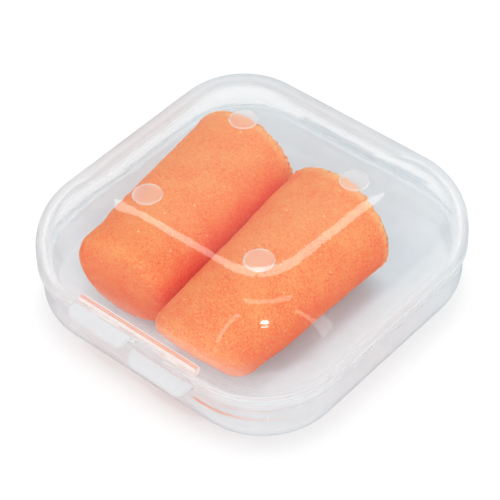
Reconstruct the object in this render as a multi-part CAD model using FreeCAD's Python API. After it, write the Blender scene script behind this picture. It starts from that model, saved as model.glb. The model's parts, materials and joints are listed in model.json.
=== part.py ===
import FreeCAD, Part
import math
import os

# A pair of foam ear plugs in a small translucent snap case. Millimetres, +Z up.
# Origin: centre of the case's underside. The front (latch side) faces -Y, the hinge is at +Y.

Vector = FreeCAD.Vector

# Case, overall
CASE_SIDE = 40.0
CASE_HEIGHT = 17.0
CORNER_RADIUS = 10.0
PARTING_HEIGHT = 8.0
PARTING_GAP = 0.2

# Lid: a domed cap whose flat top runs into one large shoulder radius
LID_WALL = 1.0
SHOULDER_RADIUS = 8.0
PIN_MARK_SPACING = 16.0
PIN_MARK_DIAMETER = 3.4
PIN_MARK_DEPTH = 0.2

# Base: a shallow tray that stands in a little from the lid
BASE_INSET = 0.45
BASE_WALL = 1.1
FLOOR = 1.1
FOOT_RADIUS = 4.0
RIM_BAND_HEIGHT = 0.65
RIB_BELOW_BAND = 0.75
RIB_HEIGHT = 0.3
RIB_PROUD = 0.22

# Latch: two finger lugs side by side, and a springy tongue that rises inside the lid
LATCH_WIDTH = 17.0
LUG_GAP = 0.3
LUG_PROUD = 1.6
LUG_THICKNESS = 0.8
LUG_DROOP = 0.45
LUG_CORNER = 1.3
TONGUE_RISE = 0.9
TONGUE_THICKNESS = 0.6
TONGUE_CLEARANCE = 0.3
TONGUE_ROOT_GAP = 0.08
CATCH_LENGTH = 4.2
CATCH_PROUD = 0.27
LID_NOTCH_WIDTH = 4.4
LID_NOTCH_HEIGHT = 0.9

# Living hinge: two thin leaves folded on each other behind the rear wall
HINGE_WIDTH = 18.0
HINGE_LEAF = 0.3
HINGE_REACH = 1.0
HINGE_GAP = 0.1

# Foam plugs: tapered, with a flat cut end and a blunt tip whose top leans forward where the lid presses it
PLUG_CUT_RADIUS = 7.05
PLUG_CUT_EDGE = 0.4
PLUG_CLEARANCE = 0.06
# name: x and y of the cut end's centre, direction of the tip in degrees, length on the axis,
# tip radius, rounding of the tip's edge, lean of the tip's face in degrees
PLUGS = {
    "foam_plug_left": (-9.15, 9.55, -85.3, 23.9, 6.3, 1.4, 3.6),
    "foam_plug_right": (5.27, 8.85, -89.4, 25.3, 5.75, 2.3, 27.5),
}

HALF = CASE_SIDE / 2
BASE_HALF = HALF - BASE_INSET
LID_BOTTOM = PARTING_HEIGHT + PARTING_GAP
HINGE_HEIGHT = PARTING_HEIGHT + PARTING_GAP / 2
TONGUE_FRONT = -(HALF - LID_WALL - TONGUE_CLEARANCE)


def rounded_block(half, z_low, z_high, corner):
    """A square prism about the Z axis with rounded upright edges."""
    side = 2 * half
    box = Part.makeBox(side, side, z_high - z_low, Vector(-half, -half, z_low))
    upright = [edge for edge in box.Edges if edge.BoundBox.ZLength > 0.5 * (z_high - z_low)]
    return box.makeFillet(corner, upright)


def round_rim(block, height, radius):
    """Round the closed loop of edges that lies at one height."""
    rim = [
        edge for edge in block.Edges
        if edge.BoundBox.ZLength < 1e-3 and abs(edge.BoundBox.ZMin - height) < 1e-3
    ]
    return block.makeFillet(radius, rim)


def lid_shell():
    """The cap: outer dome less inner dome, with the pin marks sunk in its inner face."""
    outer = rounded_block(HALF, 0.0, CASE_HEIGHT, CORNER_RADIUS)
    outer = round_rim(outer, CASE_HEIGHT, SHOULDER_RADIUS)
    inner_top = CASE_HEIGHT - LID_WALL
    inner = rounded_block(HALF - LID_WALL, -1.0, inner_top, CORNER_RADIUS - LID_WALL)
    inner = round_rim(inner, inner_top, SHOULDER_RADIUS - LID_WALL)
    shell = outer.cut(inner)
    below = Part.makeBox(3 * HALF, 3 * HALF, LID_BOTTOM, Vector(-1.5 * HALF, -1.5 * HALF, 0))
    shell = shell.cut(below)
    reach = PIN_MARK_SPACING / 2
    for x in (-reach, reach):
        for y in (-reach, reach):
            centre = Vector(x, y, inner_top - 0.5)
            mark = Part.makeCylinder(PIN_MARK_DIAMETER / 2, PIN_MARK_DEPTH + 0.5, centre)
            shell = shell.cut(mark)
    notch = Part.makeBox(
        LID_NOTCH_WIDTH, 2 * LID_WALL, LID_NOTCH_HEIGHT + 0.5,
        Vector(LUG_GAP, -HALF - LID_WALL, LID_BOTTOM - 0.5),
    )
    return shell.cut(notch)


def base_tray():
    """The tray: foot radius, plain wall, one thin rib and a rim band flush with the lid."""
    corner = CORNER_RADIUS - BASE_INSET
    outer = rounded_block(BASE_HALF, 0.0, PARTING_HEIGHT, corner)
    outer = round_rim(outer, 0.0, FOOT_RADIUS)
    band = rounded_block(HALF, PARTING_HEIGHT - RIM_BAND_HEIGHT, PARTING_HEIGHT, CORNER_RADIUS)
    rib_top = PARTING_HEIGHT - RIM_BAND_HEIGHT - RIB_BELOW_BAND
    rib = rounded_block(BASE_HALF + RIB_PROUD, rib_top - RIB_HEIGHT, rib_top, corner + RIB_PROUD)
    inner_corner = corner - BASE_WALL
    inner = rounded_block(BASE_HALF - BASE_WALL, FLOOR, PARTING_HEIGHT + 1.0, inner_corner)
    inner = round_rim(inner, FLOOR, FOOT_RADIUS - FLOOR)
    return outer.fuse([band, rib]).cut(inner).removeSplitter()


def finger_lug(x_low, x_high, y_root, z_root):
    """A lug that reaches out from the wall and droops, with rounded outer corners."""
    y_tip = -HALF - LUG_PROUD
    y_level = -HALF - 0.4 * LUG_PROUD
    outline = [
        Vector(x_low, y_root, z_root),
        Vector(x_low, y_level, z_root),
        Vector(x_low, y_tip, z_root - LUG_DROOP),
        Vector(x_low, y_tip, z_root - LUG_DROOP - LUG_THICKNESS),
        Vector(x_low, y_level, z_root - LUG_THICKNESS),
        Vector(x_low, y_root, z_root - LUG_THICKNESS),
    ]
    side = Part.Face(Part.makePolygon(outline + outline[:1]))
    lug = side.extrude(Vector(x_high - x_low, 0, 0))
    outer_corners = [
        edge for edge in lug.Edges
        if edge.BoundBox.XLength < 1e-3 and edge.BoundBox.YLength < 1e-3
        and abs(edge.BoundBox.YMin - y_tip) < 1e-3
    ]
    return lug.makeFillet(LUG_CORNER, outer_corners)


def lid_finger_lug():
    """The left lug, at the lid's lower edge."""
    return finger_lug(-LATCH_WIDTH / 2, -LUG_GAP / 2, -HALF, LID_BOTTOM + LUG_THICKNESS)


def base_finger_lug():
    """The right lug, under the base's rim band."""
    z_root = PARTING_HEIGHT - RIM_BAND_HEIGHT
    lug = finger_lug(LUG_GAP / 2, LATCH_WIDTH / 2, -BASE_HALF, z_root)
    return lug.cut(base_tray())


def base_latch_tongue():
    """The springy upstand behind the lid's front wall, with its catch ridge."""
    z_root = PARTING_HEIGHT + TONGUE_ROOT_GAP
    z_top = PARTING_HEIGHT + TONGUE_RISE
    tongue = Part.makeBox(
        LATCH_WIDTH, TONGUE_THICKNESS, z_top - z_root, Vector(-LATCH_WIDTH / 2, TONGUE_FRONT, z_root)
    )
    ridge_half = (z_top - z_root) / 4
    ridge_centre = (z_top + z_root) / 2 + ridge_half / 2
    outline = [
        Vector(0, TONGUE_FRONT, ridge_centre - ridge_half),
        Vector(0, TONGUE_FRONT - CATCH_PROUD, ridge_centre),
        Vector(0, TONGUE_FRONT, ridge_centre + ridge_half),
    ]
    ridge_face = Part.Face(Part.makePolygon(outline + outline[:1]))
    ridges = []
    for x in (-LATCH_WIDTH / 4 - CATCH_LENGTH / 2, LATCH_WIDTH / 4 - CATCH_LENGTH / 2):
        ridge = ridge_face.extrude(Vector(CATCH_LENGTH, 0, 0))
        ridge.translate(Vector(x, 0, 0))
        ridges.append(ridge)
    return tongue.fuse(ridges).removeSplitter()


def hinge_leaf(z_low, y_root):
    """One thin leaf of the living hinge, from the rear wall to the fold line."""
    return Part.makeBox(
        HINGE_WIDTH, HALF + HINGE_REACH - y_root, HINGE_LEAF, Vector(-HINGE_WIDTH / 2, y_root, z_low)
    )


def base_hinge_leaf():
    """The lower leaf, level with the base's rim."""
    return hinge_leaf(HINGE_HEIGHT - HINGE_GAP / 2 - HINGE_LEAF, HALF).cut(base_tray())


def lid_hinge_leaf():
    """The upper leaf, level with the lid's lower edge."""
    return hinge_leaf(HINGE_HEIGHT + HINGE_GAP / 2, HALF)


def foam_plug(x, y, heading, length, tip_radius, tip_edge, lean):
    """A tapered plug lying on the floor of the tray, its tip towards the front."""
    cut_edge = PLUG_CUT_EDGE
    taper = (PLUG_CUT_RADIUS - tip_radius) / (length - cut_edge)
    reach = length + PLUG_CUT_RADIUS
    outline = Part.makePolygon([
        Vector(0, 0, 0),
        Vector(0, 0, PLUG_CUT_RADIUS - cut_edge),
        Vector(cut_edge, 0, PLUG_CUT_RADIUS),
        Vector(reach, 0, PLUG_CUT_RADIUS - taper * (reach - cut_edge)),
        Vector(reach, 0, 0),
        Vector(0, 0, 0),
    ])
    plug = Part.Face(outline).revolve(Vector(0, 0, 0), Vector(1, 0, 0), 360)
    side = 4 * PLUG_CUT_RADIUS
    beyond = Part.makeBox(side, side, side, Vector(0, -side / 2, -side / 2))
    beyond.rotate(Vector(0, 0, 0), Vector(0, 1, 0), lean)
    beyond.translate(Vector(length, 0, 0))
    plug = plug.cut(beyond)
    tip_face = max(plug.Faces, key=lambda face: face.CenterOfMass.x)
    plug = plug.makeFillet(tip_edge, tip_face.Edges)
    dip = math.atan(taper)
    plug.rotate(Vector(0, 0, 0), Vector(0, 1, 0), math.degrees(dip))
    plug.rotate(Vector(0, 0, 0), Vector(0, 0, 1), heading)
    underside = PLUG_CUT_RADIUS * math.cos(dip) + cut_edge * math.sin(dip)
    plug.translate(Vector(x, y, FLOOR + PLUG_CLEARANCE + underside))
    return plug


def build_parts():
    """Every named piece of the object."""
    parts = {
        "base_tray": base_tray(),
        "base_latch_tongue": base_latch_tongue(),
        "base_finger_lug": base_finger_lug(),
        "base_hinge_leaf": base_hinge_leaf(),
        "lid_shell": lid_shell(),
        "lid_finger_lug": lid_finger_lug(),
        "lid_hinge_leaf": lid_hinge_leaf(),
    }
    for name, placing in PLUGS.items():
        parts[name] = foam_plug(*placing)
    return parts


os.makedirs("parts", exist_ok=True)
for part_name, shape in build_parts().items():
    shape.exportStep("parts/" + part_name + ".step")
    print(part_name, len(shape.Solids), round(shape.Volume, 2), shape.isValid())
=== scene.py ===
import json
import math

import bmesh
import bpy
from mathutils import Matrix, Vector, noise


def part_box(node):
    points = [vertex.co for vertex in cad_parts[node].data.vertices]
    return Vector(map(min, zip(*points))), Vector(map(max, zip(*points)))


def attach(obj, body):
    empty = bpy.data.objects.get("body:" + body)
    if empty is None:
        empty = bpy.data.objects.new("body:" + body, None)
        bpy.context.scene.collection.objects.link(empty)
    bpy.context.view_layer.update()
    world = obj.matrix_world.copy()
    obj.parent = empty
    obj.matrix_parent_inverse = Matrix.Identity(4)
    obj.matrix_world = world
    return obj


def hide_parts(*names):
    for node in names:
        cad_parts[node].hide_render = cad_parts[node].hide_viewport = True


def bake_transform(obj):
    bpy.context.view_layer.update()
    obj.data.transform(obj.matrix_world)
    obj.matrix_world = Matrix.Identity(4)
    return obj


# A pair of foam ear plugs in a translucent snap case. Metres, in the frame's own axes:
# +Z up, the latch at -Y, the hinge at +Y.

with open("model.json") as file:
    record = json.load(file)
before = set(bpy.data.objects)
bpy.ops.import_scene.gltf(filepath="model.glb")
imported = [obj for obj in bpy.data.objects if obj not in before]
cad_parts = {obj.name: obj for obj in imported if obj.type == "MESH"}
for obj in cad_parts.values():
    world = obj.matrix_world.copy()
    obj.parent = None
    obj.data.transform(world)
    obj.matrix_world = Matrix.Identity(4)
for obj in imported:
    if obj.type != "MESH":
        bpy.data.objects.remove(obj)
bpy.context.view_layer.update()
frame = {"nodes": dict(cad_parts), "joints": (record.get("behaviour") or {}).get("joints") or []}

MM = 0.001

# Case shell, where the frame's boxes don't say it
CORNER = 10.0 * MM
INNER_CORNER = 5.5 * MM
CORNER_BLEND = 0.6 * MM
SHOULDER_REACH = 10.2 * MM
SHOULDER_DROP = 8.0 * MM
SHOULDER_POWER = 2.22
LID_WALL = 1.0 * MM
LIP = 0.16 * MM
BASE_INSET = 0.45 * MM
BASE_WALL = 1.1 * MM
FLOOR = 1.1 * MM
FOOT = 4.0 * MM
RIM_BAND = 0.65 * MM
RIB_DROP = 0.75 * MM
RIB_HEIGHT = 0.3 * MM
RIB_PROUD = 0.22 * MM
BAND_EDGE = 0.08 * MM
RIB_ROOT = 0.02 * MM
PIN_MARK_REACH = 8.0 * MM
PIN_MARK_RADIUS = 1.7 * MM
PIN_MARK_DEPTH = 0.2 * MM
PIN_MARK_FLOOR = 0.92
PIN_MARK_OFFSET = 0.09 * MM
NOTCH_LEFT = 0.3 * MM
NOTCH_RIGHT = 4.7 * MM
NOTCH_RISE = 0.9 * MM
NOTCH_CORNER = 0.45 * MM

# Latch and hinge
LUG_THICKNESS = 0.8 * MM
LUG_CORNER = 1.3 * MM
LUG_EDGE = 0.22 * MM
LUG_ROOT = 0.6 * MM
CATCH_CENTRE = 4.25 * MM
CATCH_HALF = 2.1 * MM
CATCH_PROUD = 0.27 * MM
CATCH_SLOPE = 0.35 * MM
CATCH_RISE = 0.625
TONGUE_EDGE = 0.09 * MM
# how far down from the tongue's top the painted glow reaches
TONGUE_PAINTED_GLOW_DEPTH = 0.25 * MM
STRAP_THICKNESS = 0.3 * MM
STRAP_EDGE = 0.06 * MM

# Plugs
PLUG_CUT_EDGE = 0.35 * MM
PLUG_TIP_EDGES = {"left": 1.5 * MM, "right": 2.3 * MM}
PLUG_TIP_DOME = 0.25 * MM
CUT_HOLLOW = 0.25 * MM
CUT_REACH = 1.5 * MM
# how uneven the foam's skin is at each scale, in millimetres
SWELL = 0.14
LUMP = 0.06
GRAIN = 0.026
TEAR = 0.40
SKIN_SINK = 0.07

# Mesh density
ARC_STEPS = 28
SIDE_STEPS = 8
ROUND_STEPS = 44
LUG_STEPS = 10
TONGUE_STEPS = 68
PIN_MARK_STEPS = 48
PLUG_AROUND = 200
PLUG_ALONG = 150

LID_LOW, LID_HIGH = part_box("lid_shell")
TRAY_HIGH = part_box("base_tray")[1]
TONGUE_LOW, TONGUE_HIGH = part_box("base_latch_tongue")
TONGUE_MIDDLE = (TONGUE_LOW.y + CATCH_PROUD + TONGUE_HIGH.y) / 2
HALF = LID_HIGH.x


# Mesh helpers

def add_object(name, mesh):
    """A new object in the scene for a mesh."""
    made = bpy.data.objects.new(name, mesh)
    bpy.context.scene.collection.objects.link(made)
    return made


def smooth(piece, angle=35):
    """Smooth shading, with edges sharper than the angle kept crisp."""
    piece.data.shade_smooth()
    piece.data.set_sharp_from_angle(angle=math.radians(angle))


def loft(name, rings):
    """A closed mesh through rings of equal size, capped at both ends and facing outwards."""
    count = len(rings[0])
    points = [point for ring in rings for point in ring]
    faces = []
    for span in range(len(rings) - 1):
        low = span * count
        high = low + count
        for i in range(count):
            j = (i + 1) % count
            faces.append((low + i, low + j, high + j, high + i))
    faces.append(tuple(range(count)))
    faces.append(tuple(range(len(points) - count, len(points))))
    mesh = bpy.data.meshes.new(name)
    mesh.from_pydata(points, [], faces)
    shell = bmesh.new()
    shell.from_mesh(mesh)
    bmesh.ops.recalc_face_normals(shell, faces=shell.faces)
    if shell.calc_volume(signed=True) < 0:
        bmesh.ops.reverse_faces(shell, faces=shell.faces)
    shell.to_mesh(mesh)
    shell.free()
    made = add_object(name, mesh)
    smooth(made)
    return made


def combine(target, tool, operation):
    """Joins a tool to a target or cuts it out, and removes the tool."""
    modifier = target.modifiers.new(operation, "BOOLEAN")
    modifier.operation = operation
    modifier.solver = "EXACT"
    modifier.object = tool
    depsgraph = bpy.context.evaluated_depsgraph_get()
    result = bpy.data.meshes.new_from_object(target.evaluated_get(depsgraph))
    target.modifiers.clear()
    target.data = result
    bpy.data.objects.remove(tool)
    smooth(target)


def square_ring(inset, z):
    """Points round the case's rounded square, moved in from its outer wall by inset."""
    half = HALF - inset
    sharper = CORNER - inset
    corner = (sharper + INNER_CORNER + math.hypot(sharper - INNER_CORNER, CORNER_BLEND)) / 2
    reach = half - corner
    ring = []
    for quarter in range(4):
        turn = Matrix.Rotation(math.radians(90 * quarter), 3, "Z")
        for i in range(SIDE_STEPS):
            along = -reach + 2 * reach * i / SIDE_STEPS
            ring.append(turn @ Vector((along, -half, z)))
        for i in range(ARC_STEPS):
            angle = math.radians(-90 + 90 * i / ARC_STEPS)
            x = reach + corner * math.cos(angle)
            y = -reach + corner * math.sin(angle)
            ring.append(turn @ Vector((x, y, z)))
    return ring


def arc(centre, radius, start, end, steps):
    """Points (inset, z) along an arc, angles in degrees from the outward direction."""
    points = []
    for i in range(steps + 1):
        angle = math.radians(start + (end - start) * i / steps)
        points.append((centre[0] - radius * math.cos(angle), centre[1] + radius * math.sin(angle)))
    return points


def mix(a, b, share):
    """The value that lies a share of the way from a to b."""
    return a + (b - a) * share


def ease(value):
    """A smooth step from 0 to 1."""
    value = min(max(value, 0.0), 1.0)
    return value * value * (3 - 2 * value)


# Case

def shoulder(wall, start, end):
    """Points (inset, z) over the lid's shoulder, on a surface a wall in from the outer one."""
    points = []
    for i in range(ROUND_STEPS + 1):
        angle = math.radians(start + (end - start) * i / ROUND_STEPS)
        cosine = max(math.cos(angle), 0.0)
        sine = max(math.sin(angle), 0.0)
        across = cosine ** (2 / SHOULDER_POWER)
        up = sine ** (2 / SHOULDER_POWER)
        lean = Vector((
            across ** (SHOULDER_POWER - 1) / SHOULDER_REACH, up ** (SHOULDER_POWER - 1) / SHOULDER_DROP
        )).normalized()
        inset = SHOULDER_REACH * (1 - across) + wall * lean.x
        z = LID_HIGH.z - SHOULDER_DROP * (1 - up) - wall * lean.y
        points.append((inset, z))
    return points


def lid_skin():
    """The cap: an outer dome and an inner one, joined round a lip with softened edges."""
    low = LID_LOW.z
    lip_in = LID_WALL - LIP
    profile = shoulder(LID_WALL, 90, 0)
    profile += [(LID_WALL, low + 2 * LIP)]
    profile += arc((lip_in, low + LIP), -LIP, 0, 90, 4)
    profile += arc((LIP, low + LIP), LIP, -90, 0, 4)
    profile += [(0.0, low + 2 * LIP)]
    profile += shoulder(0.0, 0, 90)
    return loft("case_lid", [square_ring(inset, z) for inset, z in profile])


def pin_mark(x, y, z):
    """A form that cuts a shallow round sink up from a height. Its wall slopes, most of all in front."""
    rings = []
    steps = (
        (1.0, -1.0 * MM, 0.0),
        (1.0, 0.3 * PIN_MARK_DEPTH, 0.0),
        (PIN_MARK_FLOOR, PIN_MARK_DEPTH, PIN_MARK_OFFSET),
    )
    for share, rise, offset in steps:
        ring = []
        for i in range(PIN_MARK_STEPS):
            angle = 2 * math.pi * i / PIN_MARK_STEPS
            reach = PIN_MARK_RADIUS * share
            across = y + offset + reach * math.sin(angle)
            ring.append(Vector((x + reach * math.cos(angle), across, z + rise)))
        rings.append(ring)
    return loft("pin_mark", rings)


def rim_notch():
    """The slot cut up into the lid's front rim, right of the latch's middle, with a round top corner."""
    top = LID_LOW.z + NOTCH_RISE
    section = [(NOTCH_LEFT, LID_LOW.z - 1.0 * MM), (NOTCH_RIGHT, LID_LOW.z - 1.0 * MM)]
    for i in range(9):
        angle = math.radians(90 * i / 8)
        section.append((
            NOTCH_RIGHT - NOTCH_CORNER + NOTCH_CORNER * math.cos(angle),
            top - NOTCH_CORNER + NOTCH_CORNER * math.sin(angle),
        ))
    section.append((NOTCH_LEFT, top))
    rings = []
    for y in (-HALF - 1.0 * MM, -HALF + 1.6 * LID_WALL):
        rings.append([Vector((x, y, z)) for x, z in section])
    return loft("rim_notch", rings)


def lug(node):
    """A finger lug as wide and as proud as its CAD node: it leaves the wall level, then droops."""
    low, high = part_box(node)
    droop = high.z - low.z - LUG_THICKNESS
    bend = high.y - 0.35 * (high.y - low.y)
    rings = []
    stations = [0.0, 0.03, 0.1, 0.2, 0.35, 0.6, 0.9, 1.3, 1.8]
    offsets = [step * MM for step in stations]
    middle = (high.x - low.x) / 2
    places = [low.x + offset for offset in offsets] + [low.x + middle]
    places += [high.x - offset for offset in reversed(offsets)]
    for x in places:
        edge = min(x - low.x, high.x - x)
        cut = max(LUG_CORNER - edge, 0.0)
        tip = low.y + LUG_CORNER - math.sqrt(LUG_CORNER ** 2 - cut ** 2)
        soft = max(LUG_EDGE - edge, 0.0)
        inset = LUG_EDGE - math.sqrt(LUG_EDGE ** 2 - soft ** 2)
        rings.append(lug_section(x, high, tip, bend, low.y, droop, inset))
    return loft(node + "_skin", rings)


def lug_section(x, high, tip, bend, full_tip, droop, inset):
    """One upright slice through a lug: top from root to tip, a round nose, and back below."""
    root = -HALF + LUG_ROOT
    nose = LUG_THICKNESS / 2 - inset
    tip += inset
    slice_points = []
    for i in range(LUG_STEPS + 1):
        y = mix(root, tip + nose, i / LUG_STEPS)
        slice_points.append((y, nose))
    for i in range(1, 8):
        angle = math.pi * i / 8
        slice_points.append((tip + nose - nose * math.sin(angle), nose * math.cos(angle)))
    for i in range(LUG_STEPS + 1):
        y = mix(tip + nose, root, i / LUG_STEPS)
        slice_points.append((y, -nose))
    ring = []
    for y, rise in slice_points:
        drop = droop * ease((bend - y) / (bend - full_tip))
        ring.append(Vector((x, y, high.z - LUG_THICKNESS / 2 + rise - drop)))
    return ring


def lid_piece():
    """The lid: cap, finger lug, four pin marks under the top and a notch in the rim."""
    lid = lid_skin()
    combine(lid, lug("lid_finger_lug"), "UNION")
    inner_top = LID_HIGH.z - LID_WALL
    for x in (-PIN_MARK_REACH, PIN_MARK_REACH):
        for y in (-PIN_MARK_REACH, PIN_MARK_REACH):
            combine(lid, pin_mark(x, y, inner_top), "DIFFERENCE")
    combine(lid, rim_notch(), "DIFFERENCE")
    return lid


def base_profile():
    """The tray's section, from the middle of its floor up the inside, over the rim and down the outside."""
    rim = TRAY_HIGH.z
    band_low = rim - RIM_BAND
    rib_high = band_low - RIB_DROP
    rib_low = rib_high - RIB_HEIGHT
    inside = BASE_INSET + BASE_WALL
    foot_centre = (BASE_INSET + FOOT, FOOT)
    profile = arc((foot_centre[0], FOOT), FOOT - FLOOR, -90, 0, ROUND_STEPS)
    profile[-1] = (inside, FOOT)
    profile += [(inside, rim - LIP)]
    profile += arc((inside - LIP, rim - LIP), -LIP, 0, -90, 3)
    profile += arc((LIP, rim - LIP), LIP, 90, 0, 3)
    profile += [(0.0, band_low + BAND_EDGE), (BAND_EDGE, band_low)]
    profile += [(BASE_INSET, band_low - RIB_ROOT), (BASE_INSET, rib_high + RIB_ROOT)]
    rib_middle = (rib_low + rib_high) / 2
    rib_half = RIB_HEIGHT / 2
    for share in (-0.75, -0.3, 0.3, 0.75):
        proud = RIB_PROUD * math.sqrt(1 - share ** 2)
        profile += [(BASE_INSET - proud, rib_middle - share * rib_half)]
    profile += [(BASE_INSET, rib_low - RIB_ROOT)]
    profile += arc(foot_centre, FOOT, 0, -90, ROUND_STEPS)
    return profile


def base_piece():
    """The base: tray, rim band, rib and finger lug."""
    base = loft("case_base", [square_ring(inset, z) for inset, z in base_profile()])
    combine(base, lug("base_finger_lug"), "UNION")
    return base


def hinge_strap():
    """The living hinge: one thin strap folded back on itself behind the rear wall."""
    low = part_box("base_hinge_leaf")[0]
    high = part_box("lid_hinge_leaf")[1]
    outer = (high.z - low.z) / 2
    centre_y = high.y - outer
    centre_z = (high.z + low.z) / 2
    path = []
    for i in range(5):
        path.append((mix(HALF, centre_y, i / 4), -1.0, 0.0))
    for i in range(1, 12):
        angle = math.radians(-90 + 180 * i / 12)
        path.append((centre_y, math.sin(angle), math.cos(angle)))
    for i in range(5):
        path.append((mix(centre_y, HALF, i / 4), 1.0, 0.0))
    section = []
    for y, rise, out in path:
        section.append((y + outer * out, centre_z + outer * rise))
    for y, rise, out in reversed(path):
        inner = outer - STRAP_THICKNESS
        section.append((y + inner * out, centre_z + inner * rise))
    places = [low.x, low.x + STRAP_EDGE, mix(low.x, high.x, 0.25), 0.0]
    places += [mix(low.x, high.x, 0.75), high.x - STRAP_EDGE, high.x]
    rings = []
    for x in places:
        rings.append([Vector((x, y, z)) for y, z in section])
    return loft("hinge_strap", rings)


def latch_tongue():
    """The springy upstand behind the lid's front wall, with a catch ridge each side of its middle."""
    low = TONGUE_LOW
    high = TONGUE_HIGH
    face = low.y + CATCH_PROUD
    ridge_z = mix(low.z, high.z, CATCH_RISE)
    ridge_half = (high.z - low.z) / 4
    soft = TONGUE_EDGE
    rings = []
    for i in range(TONGUE_STEPS + 1):
        x = mix(low.x, high.x, i / TONGUE_STEPS)
        end = min(x - low.x, high.x - x)
        shrink = soft - math.sqrt(max(soft ** 2 - max(soft - end, 0.0) ** 2, 0.0))
        beside = abs(abs(x) - CATCH_CENTRE)
        proud = CATCH_PROUD * ease((CATCH_HALF - beside) / CATCH_SLOPE + 0.5)
        ring = [
            (face, low.z),
            (face, ridge_z - ridge_half),
            (face - proud, ridge_z),
            (face, ridge_z + ridge_half),
            (face, high.z - soft - shrink),
            (face + 0.3 * soft, high.z - 0.3 * soft - shrink),
            (face + soft, high.z - shrink),
            (high.y - soft, high.z - shrink),
            (high.y - 0.3 * soft, high.z - 0.3 * soft - shrink),
            (high.y, high.z - soft - shrink),
            (high.y, low.z),
        ]
        rings.append([Vector((x, y, z)) for y, z in ring])
    return loft("latch_tongue", rings)


# Plugs

def plug_form(node, heading):
    """A CAD plug's axes, its cut end's middle and radius, its length, taper and its tip face's slope."""
    mesh = frame["nodes"][node].data
    cut_face = min(mesh.polygons, key=lambda face: face.normal.dot(heading))
    along = -cut_face.normal.copy()
    across = Vector((0, 0, 1)).cross(along).normalized()
    upward = along.cross(across)
    rim = [vertex.co for vertex in mesh.vertices]
    origin = along * min(along.dot(point) for point in rim)
    for axis in (across, upward):
        near_cut = [axis.dot(point) for point in rim if along.dot(point - origin) < 1.0 * MM]
        origin += axis * (min(near_cut) + max(near_cut)) / 2
    cut_radius = max(across.dot(point - origin) for point in rim)
    front_faces = [face for face in mesh.polygons if face.normal.dot(along) > 0.8]
    tip_face = max(front_faces, key=lambda face: face.area)
    length = (tip_face.center - origin).dot(tip_face.normal) / along.dot(tip_face.normal)
    slope = -tip_face.normal.dot(upward) / tip_face.normal.dot(along)
    taper = math.tan(math.asin(-along.z))
    return (along, across, upward), origin, cut_radius, length, taper, slope


def plug_outline(length, cut_radius, taper, tip_edge):
    """Points (along, radius) from the middle of the cut end to the middle of the tip, evenly close."""
    tip_start = length - PLUG_TIP_DOME - tip_edge
    tip_radius = cut_radius - taper * tip_start
    nose_radius = tip_radius - tip_edge
    corners = [(0.0, 0.0), (0.0, cut_radius - PLUG_CUT_EDGE)]
    for i in range(1, 7):
        angle = math.radians(90 * i / 6)
        corners.append((
            PLUG_CUT_EDGE * (1 - math.cos(angle)),
            cut_radius - PLUG_CUT_EDGE * (1 - math.sin(angle)),
        ))
    for i in range(17):
        angle = math.radians(86 * i / 16)
        corners.append((
            tip_start + tip_edge * math.sin(angle),
            nose_radius + tip_edge * math.cos(angle),
        ))
    last_along, last_radius = corners[-1]
    for i in range(1, 9):
        share = i / 8
        corners.append((
            last_along + (length - last_along) * math.sin(share * math.pi / 2),
            last_radius * (1 - share),
        ))
    return resample(corners, PLUG_ALONG)


def resample(corners, count):
    """Points at even steps along a line of corners."""
    runs = [math.dist(a, b) for a, b in zip(corners, corners[1:])]
    total = sum(runs)
    points = []
    span = 0
    passed = 0.0
    for i in range(count + 1):
        wanted = total * i / count
        while span < len(runs) - 1 and passed + runs[span] < wanted:
            passed += runs[span]
            span += 1
        share = min((wanted - passed) / runs[span], 1.0)
        a = corners[span]
        b = corners[span + 1]
        points.append((mix(a[0], b[0], share), mix(a[1], b[1], share)))
    return points


def plug(name, node, joint, tip_edge, seed):
    """A soft foam bullet in a CAD plug's place, with an uneven skin and a torn, slightly hollow cut end."""
    heading = Vector(joint["axis"])
    axes, origin, cut_radius, length, taper, slope = plug_form(node, heading)
    along, across, upward = axes
    outline = plug_outline(length, cut_radius, taper, tip_edge)
    shift = Vector((seed, 2.3 * seed, -1.7 * seed))
    rings = []
    torn = []
    for reach, radius in outline[1:-1]:
        near_cut = ease(1 - reach / CUT_REACH)
        near_tip = ease((reach / length - 0.5) / 0.5)
        near_rim = near_cut * ease((radius / cut_radius - 0.86) / 0.1)
        softness = ease(radius / (1.0 * MM))
        ring = []
        for i in range(PLUG_AROUND):
            angle = 2 * math.pi * i / PLUG_AROUND
            outward = across * math.cos(angle) + upward * math.sin(angle)
            pressed = slope * radius * math.sin(angle) * near_tip
            place = along * (reach + pressed) + outward * radius
            sample = place / MM
            swell = noise.noise(sample * 0.16 + shift) * SWELL
            lump = noise.noise(sample * 0.55 + shift) * LUMP
            grain = noise.fractal(sample * 2.6 + shift, 0.9, 2.0, 3) * GRAIN
            tear = noise.fractal(sample * 2.9 - shift, 0.7, 2.0, 3) * TEAR * near_cut
            push = (swell + lump + grain + tear - SKIN_SINK) * MM * softness
            hollow = CUT_HOLLOW * ease(1 - radius / cut_radius) * near_cut
            end_push = (0.5 * grain + 1.4 * tear) * MM * near_cut
            ring.append(origin + place + outward * push + along * (hollow + end_push))
            torn.append(near_rim * ease(0.75 + 2.5 * tear))
        rings.append(ring)
    made = loft(name, rings)
    smooth(made, 60)
    layer = made.data.attributes.new("torn", "FLOAT", "POINT")
    layer.data.foreach_set("value", torn)
    return made


# Materials

MILK_COLOUR = (0.79, 0.845, 0.87, 1)
STEEP_MILK_COLOUR = (0.57, 0.645, 0.68, 1)
# a milk painted peach with the plugs' orange light that the tongue carries
PAINTED_PEACH_MILK_COLOUR = (0.93, 0.80, 0.73, 1)
LID_TINT = (0.975, 0.988, 0.993, 1)
LID_SHADE = (0.95, 0.955, 0.96, 1)
BASE_TINT = (0.86, 0.89, 0.905, 1)
BASE_SHADE = (0.86, 0.88, 0.89, 1)
PLASTIC_IOR = 1.49
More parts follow.
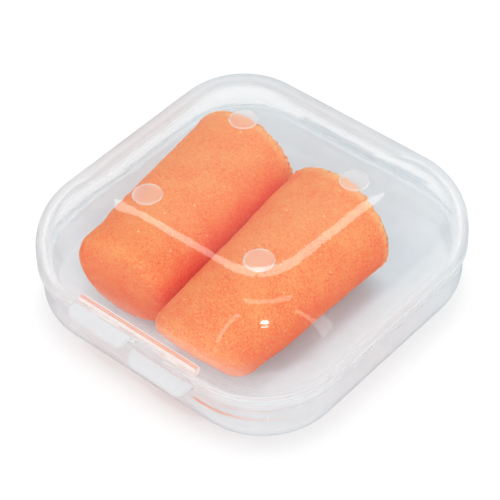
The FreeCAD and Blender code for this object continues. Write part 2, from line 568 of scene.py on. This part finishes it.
# how steeply a wall is seen, 0 head on and 1 edge on, where its milk thickens and where it darkens
HAZE_SLANT = (0.44, 0.64)
DARK_SLANT = (0.55, 0.95)
# heights on the lid, in millimetres, over which the extra haze by its rim fades out
LOW_HAZE_HEIGHTS = (8.2, 13.0)
RIPPLE_DEPTH = 0.010 * MM
MARK_STRENGTH = 0.07

# Painted glow: the plugs' orange light, which the plastic would carry to its edges, painted onto the base's
# front as colour
PAINTED_GLOW_COLOUR = (0.95, 0.40, 0.24, 1)
PAINTED_GLOW_STRENGTH = 0.65
PAINTED_GLOW_SLANT = (0.18, 0.42)
# where it comes in on the front wall, where it starts beside the lug and where it fades, in millimetres
PAINTED_GLOW_FRONT = (-12.0, -16.0)
PAINTED_GLOW_START = (8.3, 8.9)
PAINTED_GLOW_FADE = (10.5, 19.5)
# height and half width of each painted glow line on the base, in millimetres
PAINTED_GLOW_LINES = ((6.45, 0.24), (5.1, 0.34))
# Painted glow on the tongue's edge: the plugs' orange light that the tongue carries, painted as colour and a
# faint emission
PAINTED_EDGE_PINK = (0.76, 0.16, 0.085, 1)
PAINTED_EDGE_ORANGE = (0.82, 0.19, 0.035, 1)
PAINTED_EDGE_CORE = (0.95, 0.60, 0.45, 1)
PAINTED_EDGE_GLOW = 0.2
# millimetres along the tongue's edge, and off its middle line
EDGE_TURN = (-6.0, 2.0)
EDGE_CORE_END = (0.02, 0.07)
EDGE_BORDER = (0.14, 0.20)

FOAM_DEEP = (0.915, 0.160, 0.064, 1)
FOAM_PALE = (0.985, 0.335, 0.140, 1)
FOAM_PORE = (0.72, 0.09, 0.02, 1)
FOAM_SPECK = (0.98, 0.62, 0.42, 1)
FOAM_TORN = (0.99, 0.54, 0.27, 1)
FOAM_RELIEF = 0.035 * MM
# heights in millimetres, and the painted shade tone added at them: deeper low down, paler high up
FOAM_SHADE_HEIGHTS = (3.0, 14.0)
FOAM_PAINTED_SHADE_TONES = (-0.30, 0.12)

FLOOR_COLOUR = (0.72, 0.72, 0.72, 1)
FLOOR_GLOW = 0.35
# glow close to the case, and how far from it the painted contact shadow reaches
FLOOR_PAINTED_SHADOW_GLOW = 0.15
FLOOR_PAINTED_SHADOW_REACH = 4.5 * MM


def new_material(name):
    """An empty node material and its output node."""
    material = bpy.data.materials.new(name)
    material.use_nodes = True
    nodes = material.node_tree.nodes
    nodes.clear()
    return material, nodes, material.node_tree.links, nodes.new("ShaderNodeOutputMaterial")


def millimetre_place(nodes, links, stretch=(1, 1, 1)):
    """The surface point in millimetres, stretched per axis."""
    place = nodes.new("ShaderNodeTexCoord")
    mapping = nodes.new("ShaderNodeMapping")
    mapping.inputs["Scale"].default_value = [part / MM for part in stretch]
    links.new(place.outputs["Object"], mapping.inputs["Vector"])
    return mapping.outputs["Vector"]


def noise_value(nodes, links, place, scale, detail):
    """A noise texture's value at a place."""
    texture = nodes.new("ShaderNodeTexNoise")
    texture.inputs["Scale"].default_value = scale
    texture.inputs["Detail"].default_value = detail
    links.new(place, texture.inputs["Vector"])
    return texture.outputs["Fac"]


def scattered_dots(nodes, links, place, scale, radius, edge):
    """Round marks strewn over a surface, as a value of 1 inside them and 0 outside."""
    texture = nodes.new("ShaderNodeTexVoronoi")
    texture.inputs["Scale"].default_value = scale
    links.new(place, texture.inputs["Vector"])
    return remap(nodes, links, texture.outputs["Distance"], radius, edge, 1.0, 0.0)


def remap(nodes, links, value, low, high, to_low, to_high):
    """A value carried from one range to another, held inside it."""
    ranged = nodes.new("ShaderNodeMapRange")
    ranged.inputs["From Min"].default_value = low
    ranged.inputs["From Max"].default_value = high
    ranged.inputs["To Min"].default_value = to_low
    ranged.inputs["To Max"].default_value = to_high
    links.new(value, ranged.inputs["Value"])
    return ranged.outputs["Result"]


def calculate(nodes, links, operation, first, second):
    """One sum on two values, each a socket or a number."""
    node = nodes.new("ShaderNodeMath")
    node.operation = operation
    for socket, value in zip(node.inputs, (first, second)):
        if isinstance(value, (int, float)):
            socket.default_value = value
        else:
            links.new(value, socket)
    return node.outputs["Value"]


def mix_shaders(nodes, links, share, first, second):
    """Two shaders mixed by a socket or a number."""
    node = nodes.new("ShaderNodeMixShader")
    if isinstance(share, (int, float)):
        node.inputs["Fac"].default_value = share
    else:
        links.new(share, node.inputs["Fac"])
    links.new(first, node.inputs[1])
    links.new(second, node.inputs[2])
    return node.outputs["Shader"]


def bump(nodes, links, height, distance):
    """Surface relief from a height socket, its distance in metres."""
    node = nodes.new("ShaderNodeBump")
    node.inputs["Strength"].default_value = 1.0
    node.inputs["Distance"].default_value = distance
    links.new(height, node.inputs["Height"])
    return node.outputs["Normal"]


def mix_colours(nodes, links, share, first, second):
    """Two colours mixed by a socket. The first may be a socket too."""
    node = nodes.new("ShaderNodeMix")
    node.data_type = "RGBA"
    links.new(share, node.inputs["Factor"])
    if isinstance(first, tuple):
        node.inputs["A"].default_value = first
    else:
        links.new(first, node.inputs["A"])
    node.inputs["B"].default_value = second
    return node.outputs["Result"]


def milky_body(nodes, links, colour):
    """Light scattered half back and half through, in a colour."""
    scatter_back = nodes.new("ShaderNodeBsdfDiffuse")
    links.new(colour, scatter_back.inputs["Color"])
    scatter_through = nodes.new("ShaderNodeBsdfTranslucent")
    links.new(colour, scatter_through.inputs["Color"])
    return mix_shaders(nodes, links, 0.5, scatter_back.outputs["BSDF"], scatter_through.outputs["BSDF"])


def place_parts(nodes, links, place):
    """The outputs X, Y and Z of a place."""
    parts = nodes.new("ShaderNodeSeparateXYZ")
    links.new(place, parts.inputs["Vector"])
    return parts.outputs


def painted_glow_share(nodes, links, parts, facing):
    """How strongly the plugs' orange light is painted onto the base's front beside the lug, as painted glow
    lines. It only shows at a slant.
    """
    slant = remap(nodes, links, facing, *PAINTED_GLOW_SLANT, 0.0, PAINTED_GLOW_STRENGTH)
    front = remap(nodes, links, parts["Y"], *PAINTED_GLOW_FRONT, 0.0, 1.0)
    start = remap(nodes, links, parts["X"], *PAINTED_GLOW_START, 0.0, 1.0)
    fade = remap(nodes, links, parts["X"], *PAINTED_GLOW_FADE, 1.0, 0.0)
    lines = 0.0
    for height, reach in PAINTED_GLOW_LINES:
        off = calculate(nodes, links, "SUBTRACT", parts["Z"], height)
        off = calculate(nodes, links, "ABSOLUTE", off, 0)
        line = remap(nodes, links, off, 0.4 * reach, reach, 1.0, 0.0)
        lines = calculate(nodes, links, "ADD", line, lines)
    extent = calculate(nodes, links, "MULTIPLY", start, fade)
    strength = calculate(nodes, links, "MULTIPLY", extent, lines)
    return calculate(nodes, links, "MULTIPLY", strength, calculate(nodes, links, "MULTIPLY", front, slant))


def surface_marks(nodes, links, place):
    """Faint scratches and dust, as a value of 1 on them and 0 elsewhere."""
    scratch_place = millimetre_place(nodes, links, (0.35, 4.5, 0.35))
    scratch = noise_value(nodes, links, scratch_place, 0.9, 1.0)
    scratch_mark = remap(nodes, links, scratch, 0.735, 0.76, 0.0, 1.0)
    dust_mark = scattered_dots(nodes, links, place, 0.5, 0.02, 0.035)
    return calculate(nodes, links, "MAXIMUM", scratch_mark, dust_mark)


def plastic(
    name, haze, steep_haze, tint, shade, roughness,
    milk_colour=MILK_COLOUR, low_haze=0.0, lit=False,
):
    """Natural polypropylene: clear but milky, most of all seen at a steep angle or near the lid's rim. Where
    lit is set, the plugs' orange light is painted onto the base's front as painted glow lines.
    """
    material, nodes, links, output = new_material(name)
    place = millimetre_place(nodes, links)
    parts = place_parts(nodes, links, place)
    flow = noise_value(nodes, links, place, 0.16, 3.0)
    ripple = noise_value(nodes, links, place, 0.5, 2.0)
    marks = surface_marks(nodes, links, place)

    clear = nodes.new("ShaderNodeBsdfPrincipled")
    clear.inputs["Base Color"].default_value = tint
    clear.inputs["Roughness"].default_value = roughness
    clear.inputs["IOR"].default_value = PLASTIC_IOR
    clear.inputs["Transmission Weight"].default_value = 1.0
    links.new(bump(nodes, links, ripple, RIPPLE_DEPTH), clear.inputs["Normal"])

    weight = nodes.new("ShaderNodeLayerWeight")
    weight.inputs["Blend"].default_value = 0.5
    facing = weight.outputs["Facing"]
    steepness = remap(nodes, links, facing, *DARK_SLANT, 0.0, 1.0)
    milk = milky_body(nodes, links, mix_colours(nodes, links, steepness, milk_colour, STEEP_MILK_COLOUR))
    depth = remap(nodes, links, facing, *HAZE_SLANT, haze, steep_haze)
    near_rim = remap(nodes, links, parts["Z"], *LOW_HAZE_HEIGHTS, low_haze, 0.0)
    cloud = remap(nodes, links, flow, 0.3, 0.7, 0.9, 1.1)
    milky = calculate(nodes, links, "MULTIPLY", calculate(nodes, links, "MAXIMUM", depth, near_rim), cloud)
    marked = calculate(nodes, links, "MULTIPLY", marks, MARK_STRENGTH)
    share = calculate(nodes, links, "ADD", milky, marked)
    body = mix_shaders(nodes, links, share, clear.outputs["BSDF"], milk)
    # painted glow: the plugs' orange colour painted into the milk on the base's front
    if lit:
        colour = nodes.new("ShaderNodeRGB")
        colour.outputs["Color"].default_value = PAINTED_GLOW_COLOUR
        glow = milky_body(nodes, links, colour.outputs["Color"])
        body = mix_shaders(nodes, links, painted_glow_share(nodes, links, parts, facing), body, glow)

    light_path = nodes.new("ShaderNodeLightPath")
    open_air = nodes.new("ShaderNodeBsdfTransparent")
    open_air.inputs["Color"].default_value = shade
    lets_through = calculate(
        nodes, links, "MAXIMUM", light_path.outputs["Is Shadow Ray"],
        light_path.outputs["Is Diffuse Ray"],
    )
    surface = mix_shaders(nodes, links, lets_through, body, open_air.outputs["BSDF"])
    links.new(surface, output.inputs["Surface"])
    return material


def painted_edge_glow():
    """A painted glow on the tongue's edge: a thin double line painted with the plugs' colour and a faint
    emission, pinker on the left.
    """
    material, nodes, links, output = new_material("painted_edge_glow")
    parts = place_parts(nodes, links, millimetre_place(nodes, links))
    along = remap(nodes, links, parts["X"], *EDGE_TURN, 0.0, 1.0)
    from_middle = calculate(nodes, links, "SUBTRACT", parts["Y"], TONGUE_MIDDLE / MM)
    off_middle = calculate(nodes, links, "ABSOLUTE", from_middle, 0)
    core = remap(nodes, links, off_middle, *EDGE_CORE_END, 0.6, 0.0)
    border = remap(nodes, links, off_middle, *EDGE_BORDER, 0.0, 1.0)
    colour = mix_colours(nodes, links, along, PAINTED_EDGE_PINK, PAINTED_EDGE_ORANGE)
    colour = mix_colours(nodes, links, core, colour, PAINTED_EDGE_CORE)
    colour = mix_colours(nodes, links, border, colour, PAINTED_PEACH_MILK_COLOUR)
    glow = nodes.new("ShaderNodeEmission")
    glow.inputs["Strength"].default_value = PAINTED_EDGE_GLOW
    links.new(colour, glow.inputs["Color"])
    both = nodes.new("ShaderNodeAddShader")
    links.new(milky_body(nodes, links, colour), both.inputs[0])
    links.new(glow.outputs["Emission"], both.inputs[1])
    links.new(both.outputs["Shader"], output.inputs["Surface"])
    return material


def foam():
    """Matte orange foam with painted shade, deeper low down and paler high up, with a fine grain, dark pores,
    pale specks and torn rims.
    """
    material, nodes, links, output = new_material("plug_foam")
    place = millimetre_place(nodes, links)
    cloud = noise_value(nodes, links, place, 0.35, 4.0)
    grain = noise_value(nodes, links, place, 5.5, 4.0)
    fine_grain = remap(nodes, links, grain, 0.33, 0.67, 0.0, 1.0)
    cells = nodes.new("ShaderNodeTexVoronoi")
    cells.inputs["Scale"].default_value = 5.0
    links.new(place, cells.inputs["Vector"])
    open_cells = remap(nodes, links, cells.outputs["Distance"], 0.05, 0.45, 0.0, 1.0)
    pore_mark = scattered_dots(nodes, links, place, 1.5, 0.07, 0.14)
    speck_mark = scattered_dots(nodes, links, place, 0.7, 0.05, 0.09)
    torn = nodes.new("ShaderNodeAttribute")
    torn.attribute_name = "torn"

    tones = nodes.new("ShaderNodeValToRGB")
    tones.color_ramp.elements[0].position = 0.25
    tones.color_ramp.elements[0].color = FOAM_DEEP
    tones.color_ramp.elements[1].position = 0.75
    tones.color_ramp.elements[1].color = FOAM_PALE
    mixed = calculate(
        nodes, links, "ADD", calculate(nodes, links, "MULTIPLY", fine_grain, 0.55),
        calculate(nodes, links, "MULTIPLY", cloud, 0.45),
    )
    parts = place_parts(nodes, links, place)
    # painted shade: the foam's tone deepens low down and pales high up
    painted_shade_tone = remap(nodes, links, parts["Z"], *FOAM_SHADE_HEIGHTS, *FOAM_PAINTED_SHADE_TONES)
    links.new(calculate(nodes, links, "ADD", mixed, painted_shade_tone), tones.inputs["Fac"])
    colour = tones.outputs["Color"]
    for share, mark, mark_colour in (
        (0.55, pore_mark, FOAM_PORE),
        (0.80, speck_mark, FOAM_SPECK),
        (0.80, torn.outputs["Fac"], FOAM_TORN),
    ):
        weight = calculate(nodes, links, "MULTIPLY", mark, share)
        colour = mix_colours(nodes, links, weight, colour, mark_colour)

    height = calculate(nodes, links, "ADD", open_cells, calculate(nodes, links, "MULTIPLY", grain, 1.5))
    normal = bump(nodes, links, height, FOAM_RELIEF)

    body = nodes.new("ShaderNodeBsdfPrincipled")
    links.new(colour, body.inputs["Base Color"])
    body.inputs["Roughness"].default_value = 0.95
    body.inputs["Specular IOR Level"].default_value = 0.1
    body.inputs["Subsurface Weight"].default_value = 0.2
    body.inputs["Subsurface Radius"].default_value = (1.0, 0.35, 0.15)
    body.inputs["Subsurface Scale"].default_value = 0.4 * MM
    links.new(normal, body.inputs["Normal"])
    links.new(body.outputs["BSDF"], output.inputs["Surface"])
    return material


def floor_material():
    """A plain white sheet, lit a little from behind so that shadows stay faint, its glow weaker close to the
    case as a painted contact shadow.
    """
    material, nodes, links, output = new_material("floor_sheet")
    painted_contact_shadow = nodes.new("ShaderNodeAmbientOcclusion")
    painted_contact_shadow.samples = 8
    painted_contact_shadow.inputs["Distance"].default_value = FLOOR_PAINTED_SHADOW_REACH
    sheet = nodes.new("ShaderNodeBsdfDiffuse")
    sheet.inputs["Color"].default_value = FLOOR_COLOUR
    glow = nodes.new("ShaderNodeEmission")
    # painted contact shadow: the glow falls where the case is near
    strength = remap(nodes, links, painted_contact_shadow.outputs["AO"], 0.45, 0.95, FLOOR_PAINTED_SHADOW_GLOW, FLOOR_GLOW)
    links.new(strength, glow.inputs["Strength"])
    both = nodes.new("ShaderNodeAddShader")
    links.new(sheet.outputs["BSDF"], both.inputs[0])
    links.new(glow.outputs["Emission"], both.inputs[1])
    links.new(both.outputs["Shader"], output.inputs["Surface"])
    return material


# Stage

CAMERA_AZIMUTH = 41.85
CAMERA_ELEVATION = 44.34
CAMERA_ROLL = -1.67
CAMERA_DISTANCE = 247.25 * MM
CAMERA_TARGET = Vector((0, 0, 7.0 * MM))
CAMERA_LENS = 158.9
CAMERA_SHIFT = (-0.0060, -0.0008)

CONTRAST_POINTS = ((0.12, 0.085), (0.35, 0.36), (0.70, 0.80))

FLOOR_HALF = 1.5
FLOOR_GAP = 0.03 * MM

WORLD_COLOUR = (0.95, 0.985, 1.0, 1)
# its strength lower in the sky and overhead
WORLD_STRENGTH = (0.74, 0.45)

# Lamps. The hot spot and the strips are placed by shares of the ceiling's height, from above the case
CEILING = 0.5
HOT_SPOT = (0.09, -0.06)
HOT_SPOT_SIZE = (0.05, 0.05)
HOT_SPOT_RADIANCE = 60.0
FILL_SIZE = (0.4, 0.4)
TOP_FILL_PLACE = Vector((0.05, -0.02, CEILING))
TOP_FILL_RADIANCE = 1.45
FRONT_FILL_RADIANCE = 2.1
FRONT_ELEVATION = math.radians(22)
PANEL_ELEVATION = math.radians(36)
PANEL_DISTANCE = 0.8
PANEL_SIZE = (0.64, 0.38)
PANEL_RADIANCE = 0.25
# name, one end, the other end, width, radiance
CEILING_STRIPS = (
    ("rear_strip_left", (-0.506, 0.565), (-0.82, 0.477), 0.12, 3.6),
    ("rear_strip_right", (-0.506, 0.565), (-0.318, 0.793), 0.12, 3.6),
    ("corner_strip_top", (-0.32, 0.16), (-0.02, 0.44), 0.06, 2.5),
    ("corner_strip_left", (-0.25, -0.05), (-0.50, -1.20), 0.08, 2.5),
    ("corner_strip_right", (0.23, 0.40), (1.60, 1.05), 0.10, 2.5),
)


def add_camera():
    """The camera, above the front right corner and looking down at the case."""
    azimuth = math.radians(CAMERA_AZIMUTH)
    elevation = math.radians(CAMERA_ELEVATION)
    back = Vector((
        math.sin(azimuth) * math.cos(elevation),
        -math.cos(azimuth) * math.cos(elevation),
        math.sin(elevation),
    ))
    data = bpy.data.cameras.new("camera")
    data.sensor_width = 36.0
    data.lens = CAMERA_LENS
    data.shift_x = CAMERA_SHIFT[0]
    data.shift_y = CAMERA_SHIFT[1]
    data.clip_start = 0.01
    data.clip_end = 10.0
    camera = add_object("camera", data)
    camera.location = CAMERA_TARGET + back * CAMERA_DISTANCE
    aim = (-back).to_track_quat("-Z", "Y").to_matrix()
    roll = Matrix.Rotation(math.radians(CAMERA_ROLL), 3, "Z")
    camera.rotation_euler = (aim @ roll).to_euler()
    bpy.context.scene.camera = camera


def add_floor():
    """A white sheet just under the case."""
    side = FLOOR_HALF
    low = -FLOOR_GAP
    mesh = bpy.data.meshes.new("floor")
    corners = [(-side, -side, low), (side, -side, low), (side, side, low), (-side, side, low)]
    mesh.from_pydata(corners, [], [(0, 1, 2, 3)])
    floor = add_object("floor", mesh)
    floor.data.materials.append(floor_material())


def aim_down(lamp, place, sideways):
    """Faces a lamp at the case from a place, its width along a sideways direction."""
    back = Vector(place).normalized()
    width = (sideways - back * sideways.dot(back)).normalized()
    turn = Matrix((width, back.cross(width), back)).transposed()
    lamp.location = place
    lamp.rotation_euler = turn.to_euler()


def add_lamp(name, shape, place, sideways, size, radiance, only_shine=False):
    """A soft lamp that faces the case, as bright as its radiance says, or one seen only as a shine."""
    data = bpy.data.lights.new(name, "AREA")
    data.shape = shape
    data.size = size[0]
    data.size_y = size[1]
    area = size[0] * size[1]
    if shape == "ELLIPSE":
        area *= math.pi / 4
    data.energy = radiance * area * math.pi
    lamp = add_object(name, data)
    aim_down(lamp, place, sideways)
    lamp.visible_diffuse = not only_shine
    lamp.visible_transmission = not only_shine
    return lamp


def add_ceiling_strip(name, start, end, width, radiance):
    """A faint strip overhead that only shows as a shine, between two places on the ceiling."""
    start = Vector((*start, 1)) * CEILING
    end = Vector((*end, 1)) * CEILING
    middle = (start + end) / 2
    size = ((end - start).length, width * CEILING)
    add_lamp(name, "RECTANGLE", middle, end - start, size, radiance, only_shine=True)


def add_lights():
    """Pale surroundings, a panel behind the case, ceiling strips, a hot spot overhead and two fills."""
    world = bpy.data.worlds.new("surroundings")
    world.use_nodes = True
    nodes = world.node_tree.nodes
    links = world.node_tree.links
    direction = nodes.new("ShaderNodeTexCoord")
    parts = place_parts(nodes, links, direction.outputs["Generated"])
    background = nodes["Background"]
    background.inputs["Color"].default_value = WORLD_COLOUR
    strength = remap(nodes, links, parts["Z"], 0.45, 0.95, *WORLD_STRENGTH)
    links.new(strength, background.inputs["Strength"])
    bpy.context.scene.world = world

    azimuth = math.radians(CAMERA_AZIMUTH)
    away = Vector((-math.sin(azimuth), math.cos(azimuth), 0))
    aside = Vector((0, 0, 1)).cross(away)
    middle = away * math.cos(PANEL_ELEVATION) + Vector((0, 0, math.sin(PANEL_ELEVATION)))
    panel_place = middle * PANEL_DISTANCE
    add_lamp("rear_panel", "RECTANGLE", panel_place, aside, PANEL_SIZE, PANEL_RADIANCE, only_shine=True)
    for name, start, end, width, radiance in CEILING_STRIPS:
        add_ceiling_strip(name, start, end, width, radiance)

    overhead = Vector((*HOT_SPOT, 1)) * CEILING
    add_lamp("overhead_lamp", "ELLIPSE", overhead, aside, HOT_SPOT_SIZE, HOT_SPOT_RADIANCE)
    front = (Vector((0, 0, math.sin(FRONT_ELEVATION))) - away * math.cos(FRONT_ELEVATION)) * CEILING
    for name, place, radiance in (
        ("top_fill", TOP_FILL_PLACE, TOP_FILL_RADIANCE),
        ("front_fill", front, FRONT_FILL_RADIANCE),
    ):
        fill = add_lamp(name, "RECTANGLE", place, aside, FILL_SIZE, radiance)
        fill.visible_glossy = False
        fill.visible_transmission = False


def set_picture():
    """Plain colour with a contrast curve, and enough bounces for light to pass the case's walls."""
    scene = bpy.context.scene
    scene.view_settings.view_transform = "Standard"
    scene.view_settings.use_curve_mapping = True
    curve = scene.view_settings.curve_mapping
    for dark, bright in CONTRAST_POINTS:
        curve.curves[3].points.new(dark, bright)
    curve.update()
    scene.cycles.max_bounces = 24
    scene.cycles.diffuse_bounces = 8
    scene.cycles.transmission_bounces = 20
    scene.cycles.transparent_max_bounces = 24
    scene.cycles.caustics_refractive = False
    scene.cycles.caustics_reflective = False


# Assembly

def dress(piece, material):
    """Gives a piece its material, on every face."""
    piece.data.materials.clear()
    piece.data.materials.append(material)
    for face in piece.data.polygons:
        face.material_index = 0


def relook(piece, material, *rules):
    """Gives the faces that any of the rules picks another material."""
    piece.data.materials.append(material)
    index = len(piece.data.materials) - 1
    for face in piece.data.polygons:
        if any(rule(face) for rule in rules):
            face.material_index = index


def pin_mark_rise(face):
    """How far a face is sunk above the lid's inner top inside a pin mark, or 0 outside the marks."""
    centre = face.center
    across = math.hypot(abs(centre.x) - PIN_MARK_REACH, abs(centre.y) - PIN_MARK_REACH)
    rise = centre.z - (LID_HIGH.z - LID_WALL)
    return rise if across < 1.02 * PIN_MARK_RADIUS and rise < 1.5 * PIN_MARK_DEPTH else 0.0


def on_pin_floor(face):
    """Whether a face is a pin mark's flat floor."""
    return pin_mark_rise(face) > 0.98 * PIN_MARK_DEPTH


def on_pin_rim(face):
    """Whether a face is a pin mark's sloping rim."""
    return 0.01 * MM < pin_mark_rise(face) <= 0.98 * PIN_MARK_DEPTH


def on_lug(face):
    """Whether a face is outside the front wall, on a finger lug."""
    return face.center.y < -HALF - 0.03 * MM


def on_base_rim(face):
    """Whether a face is on the base's rim band."""
    return face.center.z > TRAY_HIGH.z - 1.05 * RIM_BAND


def on_lid_lip(face):
    """Whether a face is on the lid's lower lip."""
    return face.center.z < LID_LOW.z + 2 * LIP


def on_tongue_edge(face):
    """Whether a face is on the tongue's top edge, or close below it on the front."""
    faces_out = face.normal.z > 0.5 or face.normal.y < -0.5
    return faces_out and face.center.z > TONGUE_HIGH.z - TONGUE_PAINTED_GLOW_DEPTH


lid_plastic = plastic("lid_plastic", 0.012, 0.84, LID_TINT, LID_SHADE, 0.05, low_haze=0.34)
mark_plastic = plastic("pin_mark_plastic", 0.26, 0.72, LID_TINT, LID_SHADE, 0.3)
rim_plastic = plastic("pin_rim_plastic", 0.55, 0.72, LID_TINT, LID_SHADE, 0.3)
lug_plastic = plastic("lug_plastic", 0.52, 0.80, LID_TINT, LID_SHADE, 0.15)
# the base's front carries the painted glow lines
base_plastic = plastic("base_plastic", 0.50, 0.86, BASE_TINT, BASE_SHADE, 0.15, lit=True)
# the tongue's milk is painted peach with the plugs' light
tongue_plastic = plastic("tongue_plastic", 0.50, 0.80, LID_TINT, LID_SHADE, 0.15, PAINTED_PEACH_MILK_COLOUR)
painted_edge_glow_look = painted_edge_glow()
plug_foam = foam()
slides = {joint["child"]: joint for joint in frame["joints"]}

case_lid = lid_piece()
dress(case_lid, lid_plastic)
relook(case_lid, mark_plastic, on_pin_floor)
relook(case_lid, rim_plastic, on_pin_rim)
relook(case_lid, lug_plastic, on_lid_lip, on_lug)
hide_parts("lid_shell", "lid_finger_lug")
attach(case_lid, "lid")

case_base = base_piece()
dress(case_base, base_plastic)
relook(case_base, lug_plastic, on_base_rim, on_lug)
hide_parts("base_tray", "base_finger_lug")
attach(case_base, "base")

strap = hinge_strap()
dress(strap, base_plastic)
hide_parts("base_hinge_leaf", "lid_hinge_leaf")
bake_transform(strap)

tongue = latch_tongue()
dress(tongue, tongue_plastic)
# the tongue's top edge gets the painted glow
relook(tongue, painted_edge_glow_look, on_tongue_edge)
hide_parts("base_latch_tongue")
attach(tongue, "latch_tongue")

for side, seed in (("left", 3.1), ("right", 8.4)):
    node = "foam_plug_" + side
    body = "plug_" + side
    made = plug(side + "_plug", node, slides[body], PLUG_TIP_EDGES[side], seed)
    dress(made, plug_foam)
    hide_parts(node)
    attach(made, body)

add_floor()
add_lights()
add_camera()
set_picture()
